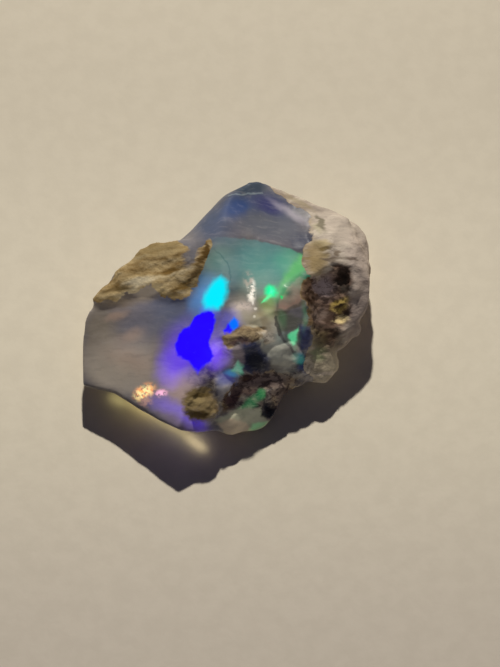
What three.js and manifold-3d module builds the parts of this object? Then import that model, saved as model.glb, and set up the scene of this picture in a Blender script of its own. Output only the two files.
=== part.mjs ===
import * as THREE from "three";
import { mergeVertices } from "three/addons/utils/BufferGeometryUtils.js";
import { ImprovedNoise } from "three/addons/math/ImprovedNoise.js";
import Module from "manifold-3d";

// A rough opal: one broken lump of precious opal with its sandy matrix still grown on.
// Millimetres, +Z up, X along the length, the stone's ground resting face lies in Z = 0.

// Widest line of the stone seen from above, corner by corner: x, y and the height of the edge there.
const RIM = [
  [-10.85, -5.5, 2.4],
  [-10.8, -2.9, 3.2],
  [-10.5, -0.6, 3.9],
  [-9.4, 1.3, 4.5],
  [-7.0, 3.5, 5.0],
  [-5.9, 4.4, 5.2],
  [-3.9, 4.6, 5.4],
  [-2.5, 5.9, 5.4],
  [-0.2, 8.3, 5.8],
  [2.1, 9.55, 6.2],
  [4.4, 8.95, 6.2],
  [7.4, 7.6, 6.0],
  [9.1, 6.8, 5.5],
  [10.5, 3.9, 4.9],
  [10.8, 1.5, 4.6],
  [10.6, -0.1, 4.0],
  [9.2, -2.0, 3.2],
  [8.2, -2.4, 2.4],
  [8.3, -4.0, 1.6],
  [6.3, -5.0, 1.9],
  [4.2, -6.2, 2.3],
  [3.5, -7.7, 1.2],
  [2.8, -8.5, 0.9],
  [1.7, -8.8, 1.2],
  [-0.5, -9.3, 3.3],
  [-1.6, -9.45, 3.8],
  [-3.2, -9.35, 3.6],
  [-5.3, -8.25, 3.4],
  [-8.4, -6.2, 2.9],
];
const CROWN_HEIGHT = 9.0;
const UNDERSIDE_DEPTH = 1.22;
const BODY_DETAIL = 13;
const BODY_UNEVENNESS = 0.16;

// Broken faces of the opal: a point on each, the way it looks, how hollow it is and how far it runs.
const FACES = {
  left: { at: [-6.0, -3.6, 4.5], facing: [-0.275, -0.248, 0.929], hollow: 220, reach: 14, grid: 12 },
  green: { at: [3.2, 1.2, 7.19], facing: [0.16, -0.0576, 0.985], hollow: 70, reach: 8, grid: 10 },
  upper: { at: [3.8, 6.0, 6.5], facing: [0.24, 0.33, 0.913], hollow: 18, reach: 7, grid: 12 },
  lowerSlope: { at: [2.4, -4.6, 4.0], facing: [0.292, -0.611, 0.736], hollow: 30, reach: 8, grid: 10 },
  rightSlope: { at: [9.2, -0.4, 4.95], facing: [0.45, -0.42, 0.79], hollow: 200, reach: 7, grid: 8 },
  undercut: { at: [-5.4, -8.35, 3.4], facing: [-0.28, -0.76, -0.58], hollow: 60, reach: 9, grid: 9 },
  backChip: { at: [-2.8, 6.0, 3.3], facing: [-0.55, 0.72, -0.42], hollow: 7, reach: 3.6, grid: 7 },
  centreScoop: { at: [1.55, -0.4, 7.1], facing: [0.1, -0.25, 0.96], hollow: 7, reach: 2.6, grid: 8 },
};
const FACE_RIPPLE = 0.035;
const RIPPLE_SPACING = 2.2;

// Sandy matrix left on the far side of the left face, in thin sheets that lie along the face:
// centre, half sizes, turn about Z in degrees.
const MATRIX = [
  { at: [-8.6, 0.9, 4.9], size: [1.6, 0.8, 0.6], turn: 18 },
  { at: [-7.0, 1.9, 5.6], size: [1.9, 1.3, 0.8], turn: 25 },
  { at: [-5.2, 2.4, 6.25], size: [2.3, 2.0, 0.8], turn: 5 },
  { at: [-3.4, 2.6, 6.85], size: [2.1, 2.0, 0.75], turn: -5 },
  { at: [-4.0, 1.0, 6.3], size: [1.5, 1.0, 0.5], turn: 0 },
];

// Pale rind grown round the right end.
const RIND = [
  { at: [7.7, 3.6, 3.9], size: [3.1, 3.9, 3.2], turn: 6 },
  { at: [8.1, -0.8, 2.9], size: [2.1, 1.9, 1.7], turn: 20 },
];

// Grains and small domes grown on the lower slope.
const NODULES = [
  { at: [1.1, -2.7, 5.6], size: [2.0, 1.3, 1.4], turn: 10 },
  { at: [1.95, -3.8, 3.6], size: [1.5, 1.5, 1.6], turn: 0 },
  { at: [3.9, -3.0, 3.5], size: [2.0, 1.5, 1.6], turn: -8 },
  { at: [-0.2, -5.6, 3.5], size: [1.3, 1.7, 1.4], turn: -30 },
  { at: [-1.9, -7.1, 3.0], size: [1.5, 1.6, 1.5], turn: 0 },
  { at: [2.7, -5.4, 2.2], size: [2.3, 1.6, 1.3], turn: 15 },
  { at: [5.2, -4.3, 2.3], size: [1.6, 1.2, 1.2], turn: 20 },
  { at: [7.0, -3.7, 1.9], size: [1.4, 1.5, 1.6], turn: 0 },
  { at: [5.9, -0.8, 4.2], size: [1.0, 2.4, 1.8], turn: 4 },
  { at: [4.7, 0.3, 5.9], size: [1.3, 1.6, 1.25], turn: 30 },
];
const LUMP_DETAIL = 4;
const LUMP_UNEVENNESS = 0.2;

// The thin opal flake that ends in the low lower-right corner.
const FLAKE = { at: [0.3, -7.9, 1.7], size: [2.9, 1.35, 1.2], tilt: 22, turn: 4 };

// Weathered-out hollows.
const PITS = [
  { at: [7.7, -0.4, 7.5], size: [1.7, 3.1, 2.9], turn: -4 },
  { at: [8.7, 1.7, 6.0], size: [0.5, 1.1, 0.8], turn: 0 },
  { at: [8.6, -0.9, 4.8], size: [0.6, 0.8, 0.7], turn: 0 },
  { at: [0.8, -3.25, 6.0], size: [0.6, 0.35, 0.8], turn: 5 },
  { at: [0.75, -6.4, 3.9], size: [0.4, 1.4, 0.9], turn: -35 },
  { at: [3.3, -7.2, 2.0], size: [0.5, 0.6, 0.8], turn: 0 },
];
const PIT_DETAIL = 2;

const SLIVER = 0.01;

const wasm = await Module();
wasm.setup();
const noise = new ImprovedNoise();

// A three.js geometry as one closed solid.
function solid(geometry, tolerance = 1e-4) {
  geometry.deleteAttribute("normal");
  geometry.deleteAttribute("uv");
  const merged = mergeVertices(geometry, tolerance);
  const kept = [];
  for (let i = 0; i < merged.index.count; i += 3) {
    const [a, b, c] = [0, 1, 2].map((k) => merged.index.getX(i + k));
    if (a !== b && b !== c && c !== a) {
      kept.push(a, b, c);
    }
  }
  return new wasm.Manifold(
    new wasm.Mesh({
      numProp: 3,
      vertProperties: new Float32Array(merged.attributes.position.array),
      triVerts: new Uint32Array(kept),
    }),
  );
}

// A solid as a three.js geometry.
function shape(body) {
  const mesh = body.getMesh();
  const geometry = new THREE.BufferGeometry();
  geometry.setAttribute("position", new THREE.BufferAttribute(new Float32Array(mesh.vertProperties), 3));
  geometry.setIndex(new THREE.BufferAttribute(new Uint32Array(mesh.triVerts), 1));
  return geometry;
}

function largest(body) {
  return body.decompose().sort((a, b) => b.volume() - a.volume())[0];
}

// Moves every vertex of a geometry through a function that takes and returns a Vector3.
function reshape(geometry, move) {
  const position = geometry.attributes.position;
  const point = new THREE.Vector3();
  for (let i = 0; i < position.count; i += 1) {
    const moved = move(point.fromBufferAttribute(position, i));
    position.setXYZ(i, moved.x, moved.y, moved.z);
  }
  return geometry;
}

// Reach and edge height of the rim in the direction of an angle.
function rimAt(angle) {
  const dx = Math.cos(angle);
  const dy = Math.sin(angle);
  for (let i = 0; i < RIM.length; i += 1) {
    const [ax, ay, az] = RIM[i];
    const [bx, by, bz] = RIM[(i + 1) % RIM.length];
    const across = dx * (by - ay) - dy * (bx - ax);
    const reach = (ax * (by - ay) - ay * (bx - ax)) / across;
    const along = (ax * dy - ay * dx) / across;
    if (reach > 0 && along >= 0 && along <= 1) {
      return { reach, height: az + (bz - az) * along };
    }
  }
  throw new Error("the rim does not close");
}

// The lump before it broke: domed above the rim, drawn in below it.
function body() {
  const ball = new THREE.IcosahedronGeometry(1, BODY_DETAIL);
  return solid(
    reshape(ball, (p) => {
      const rim = rimAt(Math.atan2(p.y, p.x) + 1e-5);
      const out = Math.hypot(p.x, p.y) * rim.reach;
      const angle = Math.atan2(p.y, p.x);
      const rise = p.z > 0 ? CROWN_HEIGHT - rim.height : UNDERSIDE_DEPTH * rim.height;
      const x = out * Math.cos(angle);
      const y = out * Math.sin(angle);
      const z = rim.height + rise * p.z;
      const bump = BODY_UNEVENNESS * noise.noise(x * 0.45, y * 0.45, z * 0.45);
      return p.set(x * (1 + bump * 0.1), y * (1 + bump * 0.1), z + bump);
    }),
  );
}

// The turn that takes +Z to a direction.
function upTo(facing) {
  const look = new THREE.Vector3(...facing).normalize();
  return new THREE.Quaternion().setFromUnitVectors(new THREE.Vector3(0, 0, 1), look);
}

// What a blow took off: a block whose lower side is the shell-shaped broken face.
function broken({ at, facing, hollow, reach, grid }) {
  const block = new THREE.BoxGeometry(2 * reach, 2 * reach, 12, grid, grid, 1);
  reshape(block, (p) => {
    if (p.z > 0) {
      return p.set(p.x, p.y, 16);
    }
    const fromBlow = Math.hypot(p.x - reach, p.y - reach * 0.4);
    const rib = FACE_RIPPLE * Math.cos((2 * Math.PI * fromBlow) / RIPPLE_SPACING);
    const wave = FACE_RIPPLE * 3 * noise.noise(p.x * 0.5 + at[0], p.y * 0.5 + at[1], 0.5);
    return p.set(p.x, p.y, (p.x * p.x + p.y * p.y) / (2 * hollow) + rib + wave);
  });
  block.applyQuaternion(upTo(facing));
  block.translate(...at);
  return solid(block);
}

// A lumpy rounded grain of matrix, or the shape of a hollow.
function lump({ at, size, turn, facing = [0, 0, 1] }, detail) {
  const ball = new THREE.IcosahedronGeometry(1, detail);
  reshape(ball, (p) => {
    const coarse = noise.noise(p.x * 1.7 + at[0], p.y * 1.7 + at[1], p.z * 1.7 + at[2]);
    const fine = noise.noise(p.x * 3.3 + at[1], p.y * 3.3 + at[0], p.z * 3.3);
    return p.multiplyScalar(1 + LUMP_UNEVENNESS * coarse + LUMP_UNEVENNESS * 0.4 * fine);
  });
  ball.scale(...size);
  ball.rotateZ(THREE.MathUtils.degToRad(turn));
  ball.applyQuaternion(upTo(facing));
  ball.translate(...at);
  return solid(ball);
}

function flake({ at, size, tilt, turn }) {
  const chip = new THREE.OctahedronGeometry(1, 2);
  reshape(chip, (p) => {
    const flat = Math.abs(p.x) + Math.abs(p.y) + Math.abs(p.z);
    return p.multiplyScalar(1 / (0.55 * flat + 0.45));
  });
  chip.scale(...size);
  chip.rotateY(THREE.MathUtils.degToRad(tilt));
  chip.rotateZ(THREE.MathUtils.degToRad(turn));
  chip.translate(...at);
  return solid(chip);
}

let stone = body();
for (const face of Object.values(FACES)) {
  stone = stone.subtract(broken(face));
}
for (const sheet of MATRIX) {
  stone = stone.add(lump({ ...sheet, facing: FACES.left.facing }, LUMP_DETAIL));
}
for (const grain of [...RIND, ...NODULES]) {
  stone = stone.add(lump(grain, LUMP_DETAIL));
}
stone = stone.add(flake(FLAKE));
for (const pit of PITS) {
  stone = stone.subtract(lump(pit, PIT_DETAIL));
}
const floor = new THREE.BoxGeometry(40, 40, 10);
floor.translate(0, 0, -5);
stone = stone.subtract(solid(floor));

// Loose slivers left by the cuts fall away, and the origin goes under the middle of the stone.
stone = largest(solid(shape(largest(stone)), SLIVER));
const geometry = shape(stone);
geometry.computeBoundingBox();
const middle = geometry.boundingBox.getCenter(new THREE.Vector3());
geometry.translate(-middle.x, -middle.y, 0);
const opal = new THREE.Mesh(
  geometry,
  new THREE.MeshStandardMaterial({ color: 0x7d8288, roughness: 0.25, metalness: 0 }),
);
opal.name = "rough_opal";

const group = new THREE.Group();
group.add(opal);
export default group;
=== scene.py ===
import math

import bmesh
import bpy
from mathutils import Matrix, Vector, noise


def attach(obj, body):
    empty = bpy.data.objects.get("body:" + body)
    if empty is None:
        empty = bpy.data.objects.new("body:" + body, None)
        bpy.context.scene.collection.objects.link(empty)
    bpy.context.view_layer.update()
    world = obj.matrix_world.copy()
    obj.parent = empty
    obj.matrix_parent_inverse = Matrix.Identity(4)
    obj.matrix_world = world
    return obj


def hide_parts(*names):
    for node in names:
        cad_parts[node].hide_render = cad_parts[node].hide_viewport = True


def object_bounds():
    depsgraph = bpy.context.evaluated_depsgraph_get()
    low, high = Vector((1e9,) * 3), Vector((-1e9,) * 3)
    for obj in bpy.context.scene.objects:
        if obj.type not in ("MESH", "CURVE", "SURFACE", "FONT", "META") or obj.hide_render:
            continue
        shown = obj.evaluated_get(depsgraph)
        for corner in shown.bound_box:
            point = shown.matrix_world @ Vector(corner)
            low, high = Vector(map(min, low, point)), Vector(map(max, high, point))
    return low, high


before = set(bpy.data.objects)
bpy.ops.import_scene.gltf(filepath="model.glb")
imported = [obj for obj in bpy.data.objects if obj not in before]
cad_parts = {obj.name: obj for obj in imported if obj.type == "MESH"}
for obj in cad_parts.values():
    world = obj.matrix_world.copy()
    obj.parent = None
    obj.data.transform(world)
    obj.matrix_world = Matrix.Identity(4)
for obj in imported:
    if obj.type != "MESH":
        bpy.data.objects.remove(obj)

cad_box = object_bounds()


# The stone: precious opal, milky and glassy where it broke, with sandy matrix on its far left
# shoulder, a pale rind round its right end and a crumbly slope towards the near right corner.
# It grew and broke as one lump, so it is one closed skin. Its sizes are in millimetres.
MM = 0.001
SKIN_GRAIN = 0.115

# Where each kind of ground lies: centre, half sizes, turn about Z in degrees.
CRUST = [
    ((-8.7, 1.0, 5.2), (1.7, 0.75, 3.0), 14),
    ((-6.3, 2.3, 6.4), (2.7, 1.3, 3.0), 24),
    ((-3.9, 1.6, 6.9), (1.8, 1.6, 3.0), 10),
    ((-5.4, 3.8, 6.0), (1.7, 0.9, 3.0), 16),
    ((-4.3, 3.2, 7.2), (1.5, 1.1, 3.0), 0),
    ((-1.95, 2.7, 7.6), (0.5, 1.6, 3.0), -25),
]
RIND = [
    ((9.6, 3.0, 4.0), (3.3, 6.6, 9.0), 12),
    ((6.0, 8.15, 5.4), (4.1, 1.05, 6.0), -31),
    ((8.6, -1.7, 3.4), (2.5, 2.1, 6.0), 20),
    ((7.4, -3.9, 2.6), (1.6, 1.6, 5.0), 0),
    ((6.65, 2.9, 6.9), (1.0, 1.5, 3.0), 14),
]
PIT = [
    ((7.6, -0.5, 5.2), (1.6, 2.9, 5.0), -4),
    ((6.4, 0.5, 6.2), (0.95, 1.2, 5.0), 0),
    ((8.35, 1.5, 5.6), (1.05, 1.3, 5.0), 0),
]
RUBBLE = [
    ((1.7, -2.8, 6.2), (1.9, 0.6, 3.0), 10),
    ((0.2, -3.2, 6.4), (0.6, 0.6, 3.0), 0),
    ((-2.05, -7.5, 4.2), (1.35, 1.3, 3.0), 0),
    ((0.4, -6.8, 3.6), (0.5, 1.3, 3.0), -35),
    ((2.9, -5.5, 3.2), (2.3, 0.6, 3.0), 6),
    ((4.3, -6.4, 2.4), (1.1, 1.1, 3.0), 0),
]
SLOPE = [
    ((3.4, -4.6, 3.4), (4.4, 3.4, 4.0), 10),
    ((6.0, -2.2, 4.4), (1.3, 1.6, 2.4), 0),
    ((-0.6, -6.6, 3.6), (2.6, 2.2, 2.4), -10),
]


def smooth(low, high, value):
    share = min(1.0, max(0.0, (value - low) / (high - low)))
    return share * share * (3 - 2 * share)


def cover(point, spots, edge):
    """How much of a kind of ground lies at a point: 1 well inside its spots, 0 outside."""
    most = 0.0
    for centre, size, turn in spots:
        away = Matrix.Rotation(math.radians(-turn), 3, "Z") @ (point - Vector(centre))
        reach = Vector((away.x / size[0], away.y / size[1], away.z / size[2])).length
        most = max(most, smooth(1 + edge, 1 - edge, reach))
    return most


def chips(point, size, seed):
    """A broken surface: flat little facets, each tipped its own way."""
    scaled = point / size + Vector((seed, seed * 1.7, seed * 0.6))
    near = noise.voronoi(scaled)[1][0]
    return (scaled - near).dot(noise.noise_vector(near * 3.1 + Vector((seed, 0, 0)))) * size


skin = bmesh.new()
skin.from_mesh(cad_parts["rough_opal"].data)
bmesh.ops.scale(skin, vec=(1 / MM, 1 / MM, 1 / MM), verts=skin.verts)
bmesh.ops.remove_doubles(skin, verts=skin.verts, dist=0.002)
bmesh.ops.recalc_face_normals(skin, faces=skin.faces)
block_mesh = bpy.data.meshes.new("stone_block")
skin.to_mesh(block_mesh)
skin.free()
block = bpy.data.objects.new("stone_block", block_mesh)
bpy.context.scene.collection.objects.link(block)
regrid = block.modifiers.new("even_skin", "REMESH")
regrid.mode = "VOXEL"
regrid.voxel_size = SKIN_GRAIN
stone_mesh = bpy.data.meshes.new_from_object(block.evaluated_get(bpy.context.evaluated_depsgraph_get()))
bpy.data.objects.remove(block)
stone = bpy.data.objects.new("opal_stone", stone_mesh)
bpy.context.scene.collection.objects.link(stone)

skin = bmesh.new()
skin.from_mesh(stone_mesh)
skin.normal_update()
# Worn edges: the whole skin a little, the rims of the crust and the pit more.
worn = [vert for vert in skin.verts if vert.co.z > 0.2]
soft = [vert for vert in worn if cover(vert.co, CRUST, 0.6) > 0 or cover(vert.co, PIT, 0.3) > 0]
ridge = [vert for vert in worn if cover(vert.co, [((0.2, 6.0, 7.0), (1.6, 2.6, 3.0), 0)], 0.5) > 0]
for region, times in ((worn, 4), (soft, 36), (ridge, 16)):
    for _ in range(times):
        bmesh.ops.smooth_vert(skin, verts=region, factor=0.5, use_axis_x=True, use_axis_y=True, use_axis_z=True)
skin.normal_update()
ground_layer = skin.verts.layers.float_color.new("ground")
hollow_shade_layer = skin.verts.layers.float.new("hollow")
moved = []
for vert in skin.verts:
    here = vert.co.copy()
    ragged = here + 0.22 * noise.noise_vector(here * 1.1) + 0.1 * noise.noise_vector(here * 3.5)
    crust = cover(ragged, CRUST, 0.25)
    rind = cover(ragged, RIND, 0.1) * (1 - crust)
    pit = cover(ragged, PIT, 0.25)
    rubble = cover(ragged, RUBBLE, 0.35) * (1 - crust)
    slope = cover(ragged, SLOPE, 0.2) * (1 - crust) * smooth(1.9, 2.8, here.x - 0.62 * here.y) * smooth(-1.0, -1.7, here.y)
    vert[ground_layer] = (crust, rind, rubble, pit)
    # opal: long shallow waves and faint shell ribs
    away = (here - Vector((9.0, -9.0, 6.0))).length
    move = 0.04 * noise.noise(here * 0.55) + 0.01 * math.sin(away * 3.3 + 2 * noise.noise(here * 0.4))
    # crust: soft torn layers and pores
    lean = Vector((here.x * 0.94 + here.y * 0.34, here.y * 0.94 - here.x * 0.34, here.z))
    layers = noise.fractal(Vector((lean.x * 0.4, lean.y * 1.5, lean.z * 1.2)), 0.9, 2.1, 5)
    pores = noise.fractal(here * 2.6, 0.8, 2.0, 4)
    move += crust * (0.09 * layers + 0.03 * pores)
    # rind: a skin with fine growth lines
    lines = math.sin(here.y * 8 + 2 * noise.noise(here * 0.6))
    bare = rind * (1 - pit) * (1 - rubble)
    move += bare * (0.08 * noise.noise(here * 0.8) + 0.012 * lines + 0.02 * pores)
    # pit: eaten-out cells
    cells = noise.voronoi(here * 1.4)[0]
    move += pit * (0.2 * (cells[0] - 0.5) - 0.08 + 0.12 * pores)
    # slope and rubble: small broken facets with grains between them
    move += slope * (1 - pit) * (0.12 * chips(here, 1.15, 1.0) + 0.05 * chips(here, 0.5, 5.0) + 0.03 * pores)
    move += rubble * (0.06 * pores + 0.05 * chips(here, 0.6, 3.0) - 0.03)
    # How far the skin is pushed in, kept to paint shade into the hollows.
    vert[hollow_shade_layer] = smooth(0.02, 0.3, -move)
    move = max(-0.6, min(0.3, move)) * smooth(0.02, 0.5, here.z)
    moved.append(here + vert.normal * move)
for vert, spot in zip(skin.verts, moved):
    limits = zip(cad_box[0] / MM, spot, cad_box[1] / MM)
    vert.co = [min(high, max(low, at)) for low, at, high in limits]
bmesh.ops.scale(skin, vec=(MM, MM, MM), verts=skin.verts)
for face in skin.faces:
    face.smooth = True
skin.to_mesh(stone_mesh)
skin.free()


class Wire:
    """One output of a shader node, so that masks and colours are written as sums."""

    tree = None

    def __init__(self, socket):
        self.socket = socket

    @classmethod
    def node(cls, kind, settings, values, output=0):
        made = cls.tree.nodes.new(kind)
        for name, value in settings.items():
            if name == "stops":
                stops = made.color_ramp.elements
                while len(stops) < len(value):
                    stops.new(0.5)
                for stop, (spot, shade) in zip(stops, value):
                    stop.position, stop.color = spot, shade
            else:
                setattr(made, name, value)
        for name, value in values.items():
            if isinstance(value, Wire):
                cls.tree.links.new(value.socket, made.inputs[name])
            else:
                made.inputs[name].default_value = value
        return cls(made.outputs[output]) if made.outputs else None

    def math(self, operation, *others):
        return Wire.node("ShaderNodeMath", {"operation": operation}, dict(enumerate((self,) + others)))

    def __add__(self, other):
        return self.math("ADD", other)

    __radd__ = __add__

    def __sub__(self, other):
        return self.math("SUBTRACT", other)

    def __rsub__(self, other):
        return Wire.node("ShaderNodeMath", {"operation": "SUBTRACT"}, {0: other, 1: self})

    def __mul__(self, other):
        return self.math("MULTIPLY", other)

    __rmul__ = __mul__

    def between(self, low, high):
        """0 up to low, 1 from high on, smooth between."""
        return Wire.node(
            "ShaderNodeMapRange",
            {"interpolation_type": "SMOOTHSTEP"},
            {"Value": self, "From Min": low, "From Max": high},
        )

    def cloud(self, scale, detail=3.0, output=0):
        return Wire.node(
            "ShaderNodeTexNoise",
            {},
            {"Vector": self, "Scale": scale, "Detail": detail, "Roughness": 0.55},
            output,
        )

    def vector(self, operation, other, output=0):
        return Wire.node("ShaderNodeVectorMath", {"operation": operation}, {0: self, 1: other}, output)

    def pushed(self, amount, scale):
        """Places pushed about by a soft noise, so that edges run ragged."""
        push = self.cloud(scale, 2.0, 1).vector("SUBTRACT", (0.5, 0.5, 0.5))
        return self.vector("ADD", push.vector("MULTIPLY", (amount, amount, amount)))

    def streaked(self, amount):
        """Places pushed along X by a noise that changes quickly across it, so that edges run in streaks."""
        flat = self.vector("MULTIPLY", (0.3, 2.4, 0.8))
        push = flat.cloud(1.0, 4.0, 1).vector("SUBTRACT", (0.5, 0.5, 0.5))
        return self.vector("ADD", push.vector("MULTIPLY", (amount, 0.2 * amount, 0.0)))

    def oval(self, middle, size, turn, edge):
        """1 inside an oval patch that reaches through the stone, 0 outside it."""
        local = Wire.node(
            "ShaderNodeMapping",
            {"vector_type": "TEXTURE"},
            {
                "Vector": self,
                "Location": (*middle, 5.0),
                "Rotation": (0, 0, math.radians(turn)),
                "Scale": (*size, 30.0),
            },
        )
        reach = Wire.node("ShaderNodeVectorMath", {"operation": "LENGTH"}, {0: local}, "Value")
        return reach.between(1 + edge, max(0.0, 1 - edge))

    def shard(self, corners, edge):
        """1 inside a straight-edged patch, its corners given anticlockwise, 0 outside it."""
        depth = None
        for (ax, ay), (bx, by) in zip(corners, corners[1:] + corners[:1]):
            side = math.hypot(bx - ax, by - ay)
            inward = ((ay - by) / side, (bx - ax) / side, 0)
            past = self.vector("DOT_PRODUCT", inward, "Value") - (ax * inward[0] + ay * inward[1])
            depth = past if depth is None else depth.math("MINIMUM", past)
        return depth.between(-edge, edge)


def colour(red, green, blue):
    """A paint colour from its screen values, 0 to 255."""
    line = [c / 255 / 12.92 if c <= 10 else ((c / 255 + 0.055) / 1.055) ** 2.4 for c in (red, green, blue)]
    return (*line, 1.0)


def blend(share, first, second):
    return Wire.node("ShaderNodeMix", {"data_type": "RGBA"}, {0: share, 6: first, 7: second}, 2)


opal_paint = bpy.data.materials.new("opal_with_matrix")
opal_paint.use_nodes = True
Wire.tree = opal_paint.node_tree
Wire.tree.nodes.clear()
place = Wire.node("ShaderNodeTexCoord", {}, {}, "Object").vector("MULTIPLY", (1 / MM, 1 / MM, 1 / MM))
drift = place.pushed(0.7, 0.8)
rough = place.pushed(0.42, 1.5)
streaky = place.pushed(0.5, 0.9).streaked(1.8)

ground = Wire.node("ShaderNodeAttribute", {"attribute_name": "ground"}, {}, "Color")
pit_mask = Wire.node("ShaderNodeAttribute", {"attribute_name": "ground"}, {}, "Alpha")
crust_mask = Wire.node("ShaderNodeSeparateColor", {}, {"Color": ground}, 0)
rind_mask = Wire.node("ShaderNodeSeparateColor", {}, {"Color": ground}, 1)
rubble_mask = Wire.node("ShaderNodeSeparateColor", {}, {"Color": ground}, 2)
hollow_painted_shade = Wire.node("ShaderNodeAttribute", {"attribute_name": "hollow"}, {}, "Fac")

# Milk and tints of the opal body, with one painted highlight on the far face: middle, half sizes, turn, edge, colour,
# strength.
TINTS_AND_PAINTED_SHEEN = [
    ((-7.6, 0.2), (4.0, 1.6), 6, 0.6, (138, 130, 132), 0.9),
    ((-5.2, -1.2), (2.6, 1.6), 20, 0.7, (138, 138, 154), 0.8),
    ((-9.6, -2.4), (1.2, 3.0), 0, 0.6, (150, 140, 124), 0.8),
    ((-6.8, -4.4), (3.4, 1.7), -14, 0.7, (196, 184, 174), 0.9),
    ((-8.6, -4.8), (2.4, 1.2), -24, 0.6, (190, 180, 166), 0.8),
    ((-7.2, -2.3), (0.9, 0.4), 14, 0.9, (208, 182, 164), 0.55),
    ((-7.3, -4.1), (1.6, 0.7), -20, 0.9, (212, 186, 166), 0.45),
    ((-8.3, -0.8), (0.8, 0.3), 16, 0.7, (190, 166, 150), 0.8),
    ((-3.6, -0.6), (1.8, 1.4), 0, 0.7, (118, 128, 158), 0.7),
    ((-3.2, -4.0), (1.9, 1.9), 20, 0.7, (104, 92, 122), 0.8),
    ((-3.4, -6.4), (1.6, 1.2), 0, 0.6, (206, 182, 178), 0.9),
    ((-3.4, -8.3), (2.2, 0.8), -28, 0.6, (170, 152, 190), 0.9),
    ((-1.0, 2.0), (1.2, 1.9), -20, 0.6, (138, 144, 138), 0.8),
    ((2.2, 7.2), (3.2, 2.0), -10, 0.5, (70, 80, 102), 0.9),
    ((-1.0, 5.4), (1.4, 1.6), 40, 0.6, (66, 84, 114), 0.75),
    ((0.7, 6.9), (1.1, 0.7), 42, 0.5, (52, 74, 116), 0.8),
    ((3.2, 7.5), (1.2, 0.8), -10, 0.7, (56, 58, 104), 0.9),
    ((1.6, 5.6), (1.7, 0.7), 12, 0.7, (96, 94, 96), 0.7),
    ((3.2, 5.4), (2.3, 1.0), -12, 0.6, (98, 102, 114), 0.8),
    # painted highlight: the pale frosty streak on the far face
    ((4.7, 6.9), (1.5, 0.3), -34, 0.8, (178, 172, 184), 0.75),
    ((5.6, 4.3), (1.0, 0.9), 0, 0.5, (76, 80, 98), 0.9),
    ((1.4, 9.0), (1.6, 0.7), 8, 0.4, (58, 72, 88), 0.9),
    ((1.5, -0.6), (1.3, 1.3), 0, 0.7, (166, 158, 146), 0.9),
    ((3.1, -1.0), (0.8, 1.0), 0, 0.5, (140, 140, 100), 0.8),
    ((3.3, -2.2), (0.6, 0.6), 0, 0.6, (190, 180, 168), 0.8),
    ((-5.8, 0.7), (1.4, 0.5), 0, 0.7, (178, 162, 138), 0.8),
    ((-8.3, 0.3), (1.3, 0.45), 0, 0.7, (160, 142, 116), 0.8),
]
# Lumps and hollows of the broken slope, with firmer edges: the same.
LUMPS = [
    ((2.7, -1.7), (1.3, 0.8), 10, 0.7, (184, 176, 146), 0.9),
    ((3.3, -2.6), (0.8, 0.8), 0, 0.6, (188, 182, 164), 0.9),
    ((4.2, -2.7), (0.6, 0.5), 0, 0.6, (150, 168, 158), 0.9),
    ((2.9, -1.9), (0.3, 0.9), 30, 0.6, (150, 134, 104), 0.6),
    ((1.2, -0.9), (0.75, 0.5), 0, 0.7, (222, 208, 198), 0.75),
    ((1.1, -1.4), (0.7, 0.4), 10, 0.7, (176, 170, 150), 0.6),
    ((0.1, -4.7), (1.1, 0.8), 10, 0.6, (170, 156, 172), 0.8),
    ((3.8, -3.7), (1.8, 1.1), -8, 0.85, (154, 154, 142), 0.95),
    ((2.9, -4.7), (1.1, 0.3), 8, 0.5, (96, 88, 78), 0.8),
    ((1.9, -4.25), (1.25, 0.95), -14, 0.25, (48, 54, 88), 0.97),
    ((2.15, -4.4), (0.95, 0.7), -10, 0.5, (33, 34, 40), 0.95),
    ((0.85, -4.1), (0.4, 0.7), 10, 0.5, (132, 120, 122), 0.85),
    ((0.0, -5.9), (0.85, 1.05), -10, 0.35, (95, 98, 118), 0.95),
    ((0.1, -6.6), (0.7, 0.5), -10, 0.5, (146, 140, 138), 0.8),
    ((1.5, -6.1), (0.8, 0.4), 10, 0.5, (156, 128, 112), 0.8),
]
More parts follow.
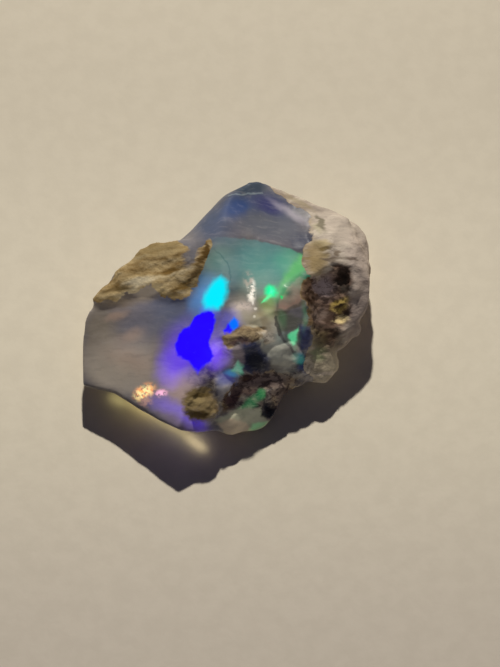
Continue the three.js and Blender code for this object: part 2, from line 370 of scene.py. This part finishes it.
# Straight-edged tints, with one painted shadow line: corners, edge, colour, strength.
FACETS_AND_PAINTED_SHADOW_LINE = [
    ([(3.6, -1.0), (4.3, -1.15), (5.6, -0.55), (6.1, 0.5), (6.2, 1.7), (5.4, 1.85), (4.9, 1.5), (4.1, 0.65), (3.6, -0.2)], 0.12, (104, 92, 80), 0.8),
    ([(3.8, -0.8), (4.3, -0.9), (5.4, -0.35), (5.8, 0.6), (5.9, 1.5), (5.4, 1.6), (5.0, 1.3), (4.3, 0.45), (3.8, -0.25)], 0.1, (152, 124, 112), 0.95),
    ([(3.75, -2.1), (4.3, -2.6), (5.3, -2.1), (6.1, -2.0), (6.0, -0.4), (5.4, -0.6), (4.3, -1.1), (3.75, -1.0)], 0.14, (112, 112, 100), 0.9),
    ([(4.3, -2.9), (5.1, -3.5), (5.4, -2.7), (5.3, -1.9), (4.9, -2.2)], 0.12, (150, 170, 150), 0.9),
    ([(5.4, -3.4), (6.2, -3.3), (6.2, -1.9), (5.35, -1.8)], 0.2, (62, 70, 112), 0.9),
    ([(5.2, -4.7), (6.1, -4.8), (6.2, -3.5), (5.2, -3.6)], 0.25, (50, 62, 104), 0.9),
    ([(3.5, -1.3), (3.5, -1.9), (3.88, -2.6), (4.05, -2.42), (3.68, -1.35)], 0.06, (66, 62, 60), 0.8),
    ([(3.88, -2.5), (5.15, -3.95), (5.32, -3.8), (4.05, -2.38)], 0.06, (80, 76, 80), 0.7),
    ([(-0.9, -8.4), (0.0, -9.3), (2.7, -9.2), (3.1, -8.2), (2.5, -7.2), (1.0, -7.4)], 0.14, (176, 174, 148), 0.95),
    ([(-0.8, -8.7), (0.2, -9.4), (2.2, -9.1), (1.4, -8.4), (0.2, -8.2)], 0.15, (206, 186, 158), 0.8),
    ([(2.5, -7.8), (3.2, -7.9), (3.8, -7.2), (2.7, -6.8)], 0.12, (24, 28, 38), 0.95),
    # painted shadow: the dark line along the edge where the far face meets the rind
    ([(2.8, 8.35), (4.3, 7.9), (5.2, 7.25), (6.05, 6.4), (6.25, 6.55), (5.3, 7.55), (4.4, 8.1), (2.9, 8.5)], 0.06, (44, 52, 60), 0.85),
    ([(0.1, 7.85), (2.7, 8.35), (2.65, 8.45), (0.1, 7.95)], 0.07, (150, 164, 168), 0.6),
]
# Play of colour, lit from inside: middle, half sizes, turn, edge, colour, strength.
GLOW = [
    ((-2.7, -3.5), (1.8, 1.8), 24, 0.7, (62, 10, 190), 0.75),
    ((-3.9, -4.5), (1.1, 1.5), -24, 0.7, (66, 14, 196), 0.62),
    ((-4.4, -5.4), (0.7, 0.8), 0, 0.8, (60, 20, 150), 0.6),
    ((-0.9, -4.1), (0.8, 0.7), 16, 0.8, (96, 40, 235), 0.8),
    ((-0.8, -2.7), (0.5, 1.3), -10, 0.8, (60, 24, 160), 0.4),
    ((-4.1, -7.7), (1.8, 0.5), -28, 0.8, (50, 20, 170), 0.6),
    ((-2.4, -8.6), (0.9, 0.5), -28, 0.8, (50, 20, 160), 0.5),
    ((-0.9, 0.9), (1.2, 1.6), -25, 0.8, (8, 88, 106), 0.42),
    ((-1.7, 0.1), (0.9, 1.2), -25, 0.8, (10, 110, 180), 0.75),
    ((-1.0, 2.7), (0.8, 0.9), 0, 0.8, (8, 72, 58), 0.5),
    ((-1.3, -1.1), (0.6, 0.5), 0, 0.7, (30, 60, 230), 0.7),
    ((0.3, -1.8), (0.7, 0.8), 0, 0.8, (40, 40, 170), 0.7),
    ((4.1, -1.5), (0.35, 0.5), 0, 0.7, (6, 70, 30), 0.7),
    ((5.75, -1.2), (0.2, 0.8), 0, 0.8, (20, 80, 44), 0.7),
    ((5.3, -3.9), (0.4, 0.3), 0, 0.7, (20, 100, 84), 0.7),
    ((0.35, -5.2), (0.4, 0.25), 0, 0.7, (0, 100, 130), 0.8),
    ((-0.1, -5.6), (0.6, 0.5), 0, 0.8, (50, 50, 140), 0.5),
    ((2.5, -6.4), (0.3, 0.35), 0, 0.6, (0, 120, 56), 0.8),
    ((3.2, 7.4), (1.1, 0.8), 0, 0.8, (16, 18, 70), 0.3),
    ((0.8, 6.8), (1.2, 0.7), 40, 0.8, (8, 30, 80), 0.5),
    ((-0.2, 5.2), (1.6, 1.2), 40, 0.8, (8, 26, 60), 0.5),
]
# The green of the middle face, which stops at the crease behind it: same, after the crease itself.
CREASE = [(-2.0, -4.0), (6.3, -4.0), (6.3, 3.1), (4.2, 3.8), (2.0, 4.25), (-2.0, 4.3)]
GREEN = [
    ((2.6, 2.6), (2.9, 2.2), -6, 0.7, (4, 98, 94), 0.9),
    ((3.4, 1.8), (2.2, 1.7), -10, 0.7, (6, 84, 60), 0.7),
    ((5.1, 2.7), (1.2, 1.3), -20, 0.7, (16, 120, 60), 0.6),
    ((3.6, 0.3), (0.9, 0.5), 36, 0.7, (40, 140, 60), 0.7),
    ((2.9, -0.7), (0.5, 0.7), 20, 0.7, (56, 90, 20), 0.7),
]
# Flashes of pure colour: corners, edge, colour.
FLASHES = [
    (
        [(-2.4, -3.3), (-1.4, -3.1), (-1.0, -2.4), (-0.9, -1.3), (-1.2, -1.0), (-1.8, -1.0), (-2.4, -1.3), (-2.9, -2.0)],
        0.1,
        (34, 0, 255),
    ),
    (
        [(-3.7, -4.0), (-2.9, -4.4), (-1.8, -4.8), (-1.2, -4.6), (-1.05, -4.2), (-1.45, -2.9), (-2.9, -2.0), (-3.55, -2.4)]
        + [(-3.9, -3.1)],
        0.12,
        (34, 0, 255),
    ),
    ([(-2.9, -4.3), (-2.55, -4.95), (-2.15, -5.35), (-1.75, -4.8), (-1.6, -4.3)], 0.14, (34, 0, 255)),
    ([(-0.2, -2.8), (0.2, -2.9), (0.45, -2.5), (0.4, -1.95), (0.1, -1.95), (-0.35, -2.45)], 0.12, (36, 16, 255)),
    ([(0.3, -2.3), (0.6, -2.5), (0.85, -2.2), (0.8, -1.8), (0.5, -1.55), (0.2, -1.9)], 0.12, (0, 110, 255)),
    (
        [(-1.6, -0.75), (-0.65, -0.9), (-0.3, -0.6), (0.0, 0.25), (0.05, 0.9), (-0.4, 1.4), (-1.0, 1.15), (-1.5, 0.5)]
        + [(-1.8, -0.2)],
        0.3,
        (0, 236, 255),
    ),
    ([(2.8, 0.2), (3.1, 0.0), (3.5, 0.0), (3.7, 0.35), (3.55, 0.8), (3.1, 0.9), (2.85, 0.6)], 0.24, (20, 250, 160)),
    ([(3.15, 0.25), (3.4, 0.25), (3.5, 0.5), (3.25, 0.6)], 0.2, (90, 255, 200)),
    ([(2.6, -0.5), (2.8, -0.45), (3.35, 0.15), (3.1, 0.2)], 0.1, (100, 250, 160)),
    ([(3.95, -0.1), (4.1, -0.1), (4.15, 0.15), (3.9, 0.15)], 0.08, (40, 210, 110)),
]
# Streaks of softer colour: corners, edge, colour, strength.
SHEENS = [
    ([(3.9, 0.5), (4.7, 1.0), (5.5, 1.9), (6.0, 2.3), (6.15, 3.3), (5.4, 3.3), (4.9, 2.6), (4.2, 1.6)], 0.3, (27, 160, 64), 0.95),
    ([(4.5, -2.5), (4.9, -3.1), (5.15, -3.0), (5.25, -2.0)], 0.12, (50, 180, 120), 0.9),
    ([(0.3, -5.1), (1.15, -5.1), (1.2, -4.7), (0.75, -4.4)], 0.14, (60, 136, 106), 0.8),
    ([(0.9, -7.4), (1.8, -7.3), (2.7, -6.7), (2.7, -6.1), (1.5, -6.8)], 0.18, (22, 96, 54), 0.7),
    ([(1.5, -8.9), (2.7, -8.9), (3.1, -8.2), (1.9, -8.4)], 0.14, (36, 130, 76), 0.65),
]
# Glints, grainy within their outline; the white and pale ones are painted highlights, the orange and pink ones play
# of colour: middle, half sizes, turn, edge, colour, grain size.
GLINTS_AND_PAINTED_HIGHLIGHTS = [
    ((1.8, 0.4), (0.26, 0.8), 0, 0.8, (255, 246, 228), 2.2),
    ((1.8, 0.2), (0.14, 0.4), 0, 0.5, (255, 250, 238), 0.2),
    ((1.6, 1.1), (0.3, 0.6), 10, 0.9, (150, 140, 124), 2.4),
    ((1.2, -0.7), (0.7, 0.3), 0, 0.9, (110, 100, 92), 5.0),
    ((2.1, -0.9), (0.12, 0.1), 0, 0.5, (255, 250, 236), 0.2),
    ((2.0, -1.47), (0.1, 0.1), 0, 0.5, (255, 250, 236), 0.2),
    ((1.9, -0.5), (0.08, 0.14), 0, 0.5, (255, 250, 236), 0.2),
    ((-6.2, -6.4), (0.72, 0.46), 24, 0.6, (255, 150, 44), 3.0),
    ((-6.25, -6.5), (0.66, 0.42), 24, 0.6, (255, 232, 150), 3.4),
    ((-4.95, -6.6), (0.4, 0.24), 0, 0.7, (240, 166, 204), 3.0),
    ((-6.1, -7.1), (0.45, 0.35), 0, 0.8, (140, 98, 84), 4.0),
]

body = blend(place.cloud(0.35, 4.0).between(0.35, 0.7), colour(112, 110, 118), colour(140, 134, 132))
for middle, size, turn, edge, shade, strength in TINTS_AND_PAINTED_SHEEN:
    body = blend(drift.oval(middle, size, turn, edge) * strength, body, colour(*shade))
broken = drift.oval((2.2, -5.6), (4.4, 3.0), 10, 0.35)
chipped = streaky.cloud(1.5, 5.0)
rough_body = blend(chipped.between(0.38, 0.52), colour(52, 42, 46), colour(116, 106, 96))
rough_body = blend(chipped.between(0.52, 0.66), rough_body, colour(160, 148, 128))
body = blend(broken * 0.9, body, rough_body)
for middle, size, turn, edge, shade, strength in LUMPS:
    body = blend(rough.oval(middle, size, turn, edge) * strength, body, colour(*shade))
for corners, edge, shade, strength in FACETS_AND_PAINTED_SHADOW_LINE:
    body = blend(rough.shard(corners, edge) * strength, body, colour(*shade))
crumbs = streaky.cloud(2.3, 4.0)
smooth_lumps = rough.oval((1.8, -4.15), (1.3, 1.0), -14, 0.3).math("MAXIMUM", rough.oval((0.0, -5.9), (0.9, 1.1), -10, 0.3))
smooth_lumps = smooth_lumps.math("MAXIMUM", rough.oval((1.2, -8.3), (2.2, 1.0), 0, 0.3))
smooth_lumps = smooth_lumps.math("MAXIMUM", rough.oval((3.8, -3.7), (1.7, 1.0), -8, 0.4))
smooth_lumps = smooth_lumps.math("MAXIMUM", rough.oval((-0.8, -4.4), (1.3, 1.0), 0, 0.5))
body = blend(broken * (1 - smooth_lumps) * crumbs.between(0.48, 0.6) * 0.6, body, colour(46, 36, 38))
lined = Wire.node("ShaderNodeMapping", {"vector_type": "POINT"}, {"Vector": drift, "Scale": (0.3, 2.2, 2.2)})
threads = Wire.node(
    "ShaderNodeMapping",
    {"vector_type": "POINT"},
    {"Vector": drift, "Rotation": (0, 0, 0.1), "Scale": (0.12, 2.6, 2.6)},
).cloud(1.4, 4.0)
body = blend(threads.between(0.5, 0.7) * 0.12, body, colour(70, 68, 72))
body = blend(threads.between(0.5, 0.3) * 0.1, body, colour(200, 194, 188))
hairline = rough.oval((-2.2, 1.3), (2.5, 2.4), 0, 0.02) - rough.oval((-2.2, 1.3), (2.4, 2.3), 0, 0.02)
hairline = hairline * place.oval((-0.2, 1.4), (1.2, 2.2), 0, 0.3)
body = blend(hairline * 0.45, body, colour(62, 70, 80))
# Emission colour: play of colour, painted white highlights and painted glow in the body's own colour, all glowing on
# their own.
fire_and_painted_glow = colour(0, 0, 0)
for middle, size, turn, edge, shade, strength in GLOW:
    fire_and_painted_glow = Wire.node(
        "ShaderNodeMix",
        {"data_type": "RGBA", "blend_type": "ADD"},
        {0: drift.oval(middle, size, turn, edge) * strength, 6: fire_and_painted_glow, 7: colour(*shade)},
        2,
    )
before_crease = rough.shard(CREASE, 0.08)
for middle, size, turn, edge, shade, strength in GREEN:
    fire_and_painted_glow = Wire.node(
        "ShaderNodeMix",
        {"data_type": "RGBA", "blend_type": "ADD"},
        {0: drift.oval(middle, size, turn, edge) * before_crease * strength, 6: fire_and_painted_glow, 7: colour(*shade)},
        2,
    )
for corners, edge, shade, strength in SHEENS:
    fire_and_painted_glow = blend(rough.shard(corners, edge) * strength, fire_and_painted_glow, colour(*shade))
for middle, size, turn, edge, shade, grain in GLINTS_AND_PAINTED_HIGHLIGHTS:
    grainy = place.cloud(grain, 3.0).between(0.4, 0.56)
    fire_and_painted_glow = blend(place.oval(middle, size, turn, edge) * grainy, fire_and_painted_glow, colour(*shade))
for corners, edge, shade in FLASHES:
    flash = rough.shard(corners, edge)
    fire_and_painted_glow = blend(flash, fire_and_painted_glow, colour(*shade))
    body = blend(flash, body, colour(*[c * 0.2 for c in shade]))

# Painted light: a glow in the body's own colour that lifts shaded lumps of the slope, the shaded step under the crust
# and other shaded spots.
painted_glow_share = drift.oval((2.4, -5.6), (5.2, 3.6), 8, 0.4) * 0.22
painted_glow_share = painted_glow_share.math("MAXIMUM", drift.oval((1.3, -0.9), (1.0, 0.8), 0, 0.6) * 0.12)
painted_glow_share = painted_glow_share.math("MAXIMUM", drift.oval((-7.0, 0.3), (3.4, 0.8), 6, 0.6) * 0.14)
painted_glow_share = painted_glow_share.math("MAXIMUM", drift.oval((-6.0, 0.8), (1.4, 0.5), 0, 0.6) * 0.3)
painted_glow_share = painted_glow_share.math("MAXIMUM", drift.oval((4.9, -1.6), (1.1, 0.9), 0, 0.5) * 0.28)
painted_glow_share = painted_glow_share.math("MAXIMUM", drift.oval((3.2, -2.15), (1.2, 1.0), -20, 0.5) * 0.46)
fire_and_painted_glow = Wire.node("ShaderNodeMix", {"data_type": "RGBA", "blend_type": "ADD"}, {0: painted_glow_share, 6: fire_and_painted_glow, 7: body}, 2)
# The fire lies in the upper part of the stone; its foot is dull.
height = Wire.node("ShaderNodeSeparateXYZ", {}, {"Vector": place}, 2)
fire_and_painted_glow = blend(height.between(0.8, 1.9), colour(0, 0, 0), fire_and_painted_glow)

# Matrix: tan and brown torn layers, cream in places, black in the pores.
layered = Wire.node(
    "ShaderNodeMapping",
    {"vector_type": "POINT"},
    {"Vector": drift, "Rotation": (0, 0, math.radians(-16)), "Scale": (0.36, 1.9, 0.9)},
)
streaks = layered.cloud(0.9, 5.0)
sand = Wire.node(
    "ShaderNodeValToRGB",
    {
        "stops": [
            (0.34, colour(118, 94, 54)),
            (0.46, colour(154, 130, 88)),
            (0.57, colour(180, 158, 116)),
            (0.7, colour(206, 188, 150)),
        ]
    },
    {"Fac": streaks},
)
grains = place.cloud(6.0, 3.0)
sand = blend(grains.between(0.52, 0.75) * 0.45, sand, colour(110, 88, 54))
rind_streaks = lined.cloud(0.7, 5.0)
rind_colour = Wire.node(
    "ShaderNodeValToRGB",
    {
        "stops": [
            (0.34, colour(140, 126, 116)),
            (0.5, colour(188, 174, 158)),
            (0.66, colour(220, 208, 190)),
        ]
    },
    {"Fac": rind_streaks},
)
rind_colour = blend(lined.cloud(2.4, 3.0).between(0.5, 0.64) * 0.45, rind_colour, colour(132, 118, 110))
earth = blend(rind_mask * (1 - rubble_mask), sand, rind_colour)
# Stains and bare spots of the matrix: middle, half sizes, turn, edge, colour, strength.
STAINS = [
    ((-6.6, 1.35), (1.2, 0.3), 8, 0.5, (222, 206, 170), 0.9),
    ((-5.0, 3.9), (1.8, 0.6), 10, 0.6, (146, 126, 86), 0.8),
    ((-4.4, 3.3), (0.9, 0.25), 10, 0.6, (186, 166, 124), 0.6),
    ((-5.0, 0.75), (1.0, 0.35), -20, 0.5, (196, 174, 128), 0.8),
    ((-4.2, 0.25), (0.9, 0.25), -6, 0.6, (170, 146, 100), 0.7),
    ((-4.3, 1.95), (0.85, 0.2), 10, 0.5, (118, 90, 42), 0.95),
    ((-3.4, 0.8), (0.9, 0.25), 28, 0.5, (120, 94, 48), 0.85),
    ((-1.7, 3.1), (0.24, 0.9), -16, 0.5, (92, 68, 30), 0.95),
    ((-2.3, 1.7), (0.26, 0.8), -34, 0.5, (106, 84, 50), 0.85),
    ((-2.7, 2.9), (0.5, 0.8), -10, 0.5, (120, 118, 124), 0.85),
    ((-8.4, 0.95), (1.2, 0.2), 10, 0.6, (92, 74, 42), 0.85),
    ((-8.4, 0.55), (1.0, 0.25), 4, 0.6, (150, 130, 92), 0.7),
    ((8.3, 5.7), (2.4, 2.2), 0, 0.6, (202, 190, 176), 0.6),
    ((10.2, 2.6), (1.1, 2.6), 8, 0.6, (206, 190, 178), 0.8),
    ((9.8, -0.6), (1.3, 1.8), 0, 0.5, (154, 140, 132), 0.8),
    ((6.9, 5.9), (0.3, 0.8), 14, 0.4, (112, 106, 86), 0.8),
    ((6.6, 5.5), (0.25, 0.6), 14, 0.5, (176, 168, 142), 0.7),
    ((5.4, 7.9), (1.2, 0.25), -36, 0.6, (160, 146, 116), 0.6),
    ((7.1, 4.1), (0.8, 0.3), 0, 0.5, (196, 178, 134), 0.8),
    ((6.5, 2.9), (0.9, 1.3), 14, 0.5, (160, 138, 94), 0.85),
    ((7.3, 3.7), (0.5, 0.18), 0, 0.5, (120, 100, 50), 0.8),
    ((8.2, 3.4), (0.5, 0.14), 20, 0.6, (112, 96, 78), 0.8),
    ((7.7, 3.0), (0.7, 0.12), 6, 0.6, (92, 76, 60), 0.8),
    ((9.1, 3.1), (0.5, 0.1), 0, 0.6, (120, 104, 92), 0.8),
    ((9.9, 1.4), (0.9, 0.12), 4, 0.7, (142, 128, 118), 0.5),
    ((9.8, 0.3), (0.8, 0.1), 0, 0.7, (134, 120, 110), 0.45),
    ((10.0, 4.4), (0.7, 0.12), 8, 0.7, (146, 132, 120), 0.7),
    ((1.7, -2.8), (2.0, 0.7), 10, 0.6, (150, 132, 104), 0.8),
    ((3.3, -2.6), (0.8, 0.45), 10, 0.6, (204, 194, 176), 0.95),
    ((0.8, -3.3), (0.8, 0.34), 4, 0.5, (82, 64, 66), 0.92),
    ((0.4, -3.9), (0.5, 0.2), 20, 0.5, (186, 174, 146), 0.8),
    ((-2.05, -7.5), (1.5, 1.5), 0, 0.5, (118, 102, 70), 0.92),
    ((-2.3, -7.3), (0.6, 0.25), 20, 0.6, (164, 144, 100), 0.8),
    ((-2.0, -6.9), (0.8, 0.16), 14, 0.6, (84, 68, 34), 0.8),
    ((-2.2, -8.2), (0.8, 0.2), -6, 0.6, (78, 62, 32), 0.85),
    ((0.4, -6.8), (0.6, 1.3), -35, 0.5, (62, 44, 50), 0.95),
    ((2.6, -5.5), (2.3, 0.7), 6, 0.6, (98, 84, 84), 0.92),
    ((1.5, -5.3), (0.7, 0.25), 0, 0.5, (52, 34, 30), 0.9),
    ((3.4, -5.6), (0.7, 0.2), 8, 0.5, (58, 44, 40), 0.85),
    ((4.2, -6.5), (1.1, 1.0), 0, 0.6, (108, 96, 92), 0.88),
    ((4.6, -6.1), (0.7, 0.25), 10, 0.5, (60, 48, 46), 0.8),
    ((7.4, -3.9), (1.6, 1.6), 0, 0.5, (166, 154, 130), 0.95),
    ((6.7, -3.4), (0.5, 0.6), 0, 0.6, (128, 134, 100), 0.8),
    ((7.5, -4.7), (0.9, 0.14), 12, 0.6, (200, 184, 164), 0.8),
]
for middle, size, turn, edge, shade, strength in STAINS:
    earth = blend(streaky.oval(middle, size, turn, edge) * strength, earth, colour(*shade))
broken_only = broken * drift.oval((-2.05, -7.5), (1.4, 1.4), 0, 0.4).math("MULTIPLY", -0.8).math("ADD", 1.0)
earth = blend(broken_only * crumbs.between(0.48, 0.58) * 0.75, earth, colour(46, 35, 38))
eaten = streaky.cloud(1.1, 5.0)
dark_pit = blend(eaten.between(0.42, 0.5), colour(52, 34, 24), colour(90, 68, 56))
dark_pit = blend(eaten.between(0.56, 0.64), dark_pit, colour(120, 98, 82))
# What lies in the pit: middle, half sizes, turn, edge, colour, strength.
PIT_SPOTS = [
    ((7.2, 1.3), (0.85, 0.7), 0, 0.6, (148, 132, 132), 0.9),
    ((5.9, 0.8), (0.4, 0.9), 0, 0.5, (78, 56, 46), 0.85),
    ((7.0, 0.3), (1.3, 0.28), 4, 0.5, (104, 84, 74), 0.85),
    ((6.1, 0.0), (0.35, 0.35), 0, 0.5, (46, 26, 16), 0.9),
    ((6.9, -0.8), (0.7, 0.7), 0, 0.7, (108, 92, 84), 0.7),
    ((6.7, -2.6), (0.8, 0.7), 0, 0.6, (112, 98, 66), 0.85),
    ((8.7, 1.5), (0.45, 1.05), 6, 0.45, (16, 8, 4), 0.98),
    ((7.7, -0.9), (0.38, 0.8), 0, 0.5, (44, 25, 14), 0.92),
    ((8.4, -0.05), (0.6, 0.42), 10, 0.5, (158, 136, 66), 0.9),
    ((8.4, -0.1), (0.5, 0.09), 10, 0.6, (38, 22, 8), 0.9),
    ((8.5, -0.95), (0.5, 0.3), 14, 0.5, (206, 186, 136), 0.92),
    ((9.1, -0.6), (0.3, 0.3), 0, 0.5, (30, 18, 8), 0.9),
    ((7.0, -1.7), (0.4, 0.3), 0, 0.5, (36, 22, 12), 0.92),
    ((8.15, -2.1), (0.6, 0.35), 8, 0.5, (34, 20, 12), 0.94),
    ((8.8, -1.6), (0.5, 0.3), 0, 0.6, (150, 134, 120), 0.8),
]
for middle, size, turn, edge, shade, strength in PIT_SPOTS:
    dark_pit = blend(streaky.oval(middle, size, turn, edge) * strength, dark_pit, colour(*shade))
dark_pit = blend(crumbs.between(0.5, 0.58) * 0.5, dark_pit, colour(44, 28, 20))
earth = blend(pit_mask * 0.95, earth, dark_pit)
# Painted shade: the matrix is darker in the hollows of the skin.
earth = blend(hollow_painted_shade * 0.3, earth, colour(54, 40, 26))

# Painted light: a glow in the matrix's own colour that lifts its shaded parts: middle, half sizes, turn, edge,
# amount.
MATRIX_PAINTED_GLOW = [
    ((3.3, -2.5), (0.9, 0.7), 0, 0.5, 0.34),
    ((2.4, -5.6), (5.6, 3.4), 8, 0.4, 0.2),
    ((7.4, -3.9), (1.8, 1.8), 0, 0.4, 0.16),
    ((7.5, 0.2), (2.0, 3.2), 0, 0.4, 0.22),
    ((9.6, -0.8), (1.6, 2.4), 0, 0.5, 0.08),
    ((-6.8, 0.9), (3.2, 0.9), 14, 0.5, 0.34),
    ((-3.8, 0.8), (1.9, 1.2), 14, 0.5, 0.16),
    ((-2.05, -7.5), (1.6, 1.6), 0, 0.5, 0.12),
]
matrix_glow_share = None
for middle, size, turn, edge, amount in MATRIX_PAINTED_GLOW:
    part = drift.oval(middle, size, turn, edge) * amount
    matrix_glow_share = part if matrix_glow_share is None else matrix_glow_share.math("MAXIMUM", part)
earth_painted_glow = blend(matrix_glow_share, colour(0, 0, 0), earth)
torn = (streaky.cloud(2.4, 4.0) - 0.5) * 1.1
loose = (rubble_mask + torn).between(0.15, 0.95)
matrix_share = (crust_mask.math("MAXIMUM", rind_mask).math("MAXIMUM", pit_mask) + torn).between(0.36, 0.62)
matrix_share = matrix_share.math("MAXIMUM", loose)

dull = 0.32 + drift.oval((-1.5, 4.7), (2.6, 1.6), 45, 0.5) * 0.3
opal_bump = Wire.node("ShaderNodeBump", {}, {"Strength": 0.25, "Distance": 0.00005, "Height": place.cloud(2.2, 4.0)})
sand_bump = Wire.node("ShaderNodeBump", {}, {"Strength": 0.4, "Distance": 0.0001, "Height": grains + streaks * 1.5})
opal_finish = Wire.node(
    "ShaderNodeBsdfPrincipled",
    {},
    {
        "Base Color": body,
        "Roughness": dull + place.cloud(1.4, 3.0) * 0.2 + broken * 0.25,
        "IOR": 1.45,
        "Specular IOR Level": 0.36,
        "Subsurface Weight": 0.4,
        "Subsurface Radius": (0.9, 1.0, 1.2),
        "Subsurface Scale": 0.0008,
        "Coat Weight": 0.08,
        "Coat Roughness": 0.1,
        "Emission Color": fire_and_painted_glow,
        "Emission Strength": 1.0,
        "Normal": opal_bump,
    },
)
sand_finish = Wire.node(
    "ShaderNodeBsdfPrincipled",
    {},
    {
        "Base Color": earth,
        "Roughness": 0.9,
        "IOR": 1.4,
        "Specular IOR Level": 0.25,
        "Emission Color": earth_painted_glow,
        "Emission Strength": 1.0,
        "Normal": sand_bump,
    },
)
whole = Wire.node("ShaderNodeMixShader", {}, {0: matrix_share, 1: opal_finish, 2: sand_finish})
Wire.node("ShaderNodeOutputMaterial", {}, {"Surface": whole})
stone_mesh.materials.append(opal_paint)
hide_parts("rough_opal")
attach(stone, "root")


# The sheet that the stone lies on: cream paper with a faint fibre grain. Its colour is painted darker towards the far
# edge and a little darker towards the near edge, as painted uneven light.
paper_mesh = bpy.data.meshes.new("paper")
sheet = bmesh.new()
bmesh.ops.create_grid(sheet, x_segments=1, y_segments=1, size=0.3)
sheet.to_mesh(paper_mesh)
sheet.free()
paper = bpy.data.objects.new("paper", paper_mesh)
bpy.context.scene.collection.objects.link(paper)
paper_paint = bpy.data.materials.new("cream_paper")
paper_paint.use_nodes = True
Wire.tree = paper_paint.node_tree
Wire.tree.nodes.clear()
place = Wire.node("ShaderNodeTexCoord", {}, {}, "Object").vector("MULTIPLY", (1 / MM, 1 / MM, 1 / MM))
paper_bump = Wire.node("ShaderNodeBump", {}, {"Strength": 0.2, "Distance": 0.0001, "Height": place.cloud(0.8, 5.0)})
along = Wire.node("ShaderNodeSeparateXYZ", {}, {"Vector": place}, 1)
# painted light: the paper's colour graded along Y for uneven light across the sheet
paper_tint_and_painted_light = blend(along.between(22, -2), colour(219, 210, 191), colour(238, 229, 208))
paper_tint_and_painted_light = blend(along.between(-5, -26), paper_tint_and_painted_light, colour(227, 217, 201))
paper_finish = Wire.node(
    "ShaderNodeBsdfPrincipled",
    {},
    {
        "Base Color": blend(place.cloud(0.7, 6.0).between(0.35, 0.65) * 0.07, paper_tint_and_painted_light, colour(160, 150, 130)),
        "Roughness": 0.85,
        "Normal": paper_bump,
    },
)
Wire.node("ShaderNodeOutputMaterial", {}, {"Surface": paper_finish})
paper_mesh.materials.append(paper_paint)


# Light: a small lamp behind and above the stone, light that comes through the stone and lands
# on the paper in front of it, a faint wide glow from the near side and a weak cool sky.
def lamp(name, shape, size, watts, tint, place, turn):
    data = bpy.data.lights.new(name, "AREA")
    data.shape = shape
    data.size, data.size_y = size
    data.energy, data.color = watts, tint
    made = bpy.data.objects.new(name, data)
    bpy.context.scene.collection.objects.link(made)
    made.location = place
    made.rotation_euler = [math.radians(angle) for angle in turn]
    return made


lamp("lamp", "DISK", (0.007, 0.007), 0.51, (1.0, 0.95, 0.86), (-0.001, 0.144, 0.145), (-85, 0, 0))
lamp("near_side", "DISK", (0.3, 0.3), 0.015, (0.78, 0.76, 1.0), (0.0, -0.45, 0.2), (66, 0, 0))
# Light through the stone: strip length, width, watts, tint, middle, turn.
THROUGH = [
    ((0.0064, 0.0005), 0.0000026, (0.88, 1.0, 0.42), (-0.0052, -0.0079, 0.0012), -30),
    ((0.0056, 0.0003), 0.0000058, (1.0, 0.86, 0.42), (-0.0052, -0.00765, 0.0005), -30),
    ((0.0012, 0.0005), 0.0000015, (1.0, 0.9, 0.44), (-0.0084, -0.0061, 0.0005), -28),
    ((0.0018, 0.0003), 0.0000036, (1.0, 0.86, 0.56), (-0.0024, -0.0095, 0.0005), -38),
]
for size, watts, tint, place, turn in THROUGH:
    strip = lamp("through_light", "RECTANGLE", size, watts, tint, place, (0, 0, turn))
    strip.visible_camera = False
    strip.visible_glossy = False
sky = bpy.data.worlds.new("sky")
bpy.context.scene.world = sky
sky.use_nodes = True
sky.node_tree.nodes["Background"].inputs["Color"].default_value = (0.72, 0.69, 1.0, 1)
sky.node_tree.nodes["Background"].inputs["Strength"].default_value = 0.046
bpy.context.scene.view_settings.view_transform = "Standard"


# Camera: looking down on the stone, a little from the near side.
ELEVATION = math.radians(75)
DISTANCE = 0.2
aim = Vector((0.00169, -0.00198, 0.004))
eye = aim + DISTANCE * Vector((0, -math.cos(ELEVATION), math.sin(ELEVATION)))
lens = bpy.data.cameras.new("camera")
lens.sensor_fit = "VERTICAL"
lens.sensor_height = 24
lens.lens = 24 * DISTANCE / (667 * 0.075 * MM)
lens.clip_start = 0.01
camera = bpy.data.objects.new("camera", lens)
camera.location = eye
camera.rotation_euler = (aim - eye).to_track_quat("-Z", "Y").to_euler()
bpy.context.scene.collection.objects.link(camera)
bpy.context.scene.camera = camera
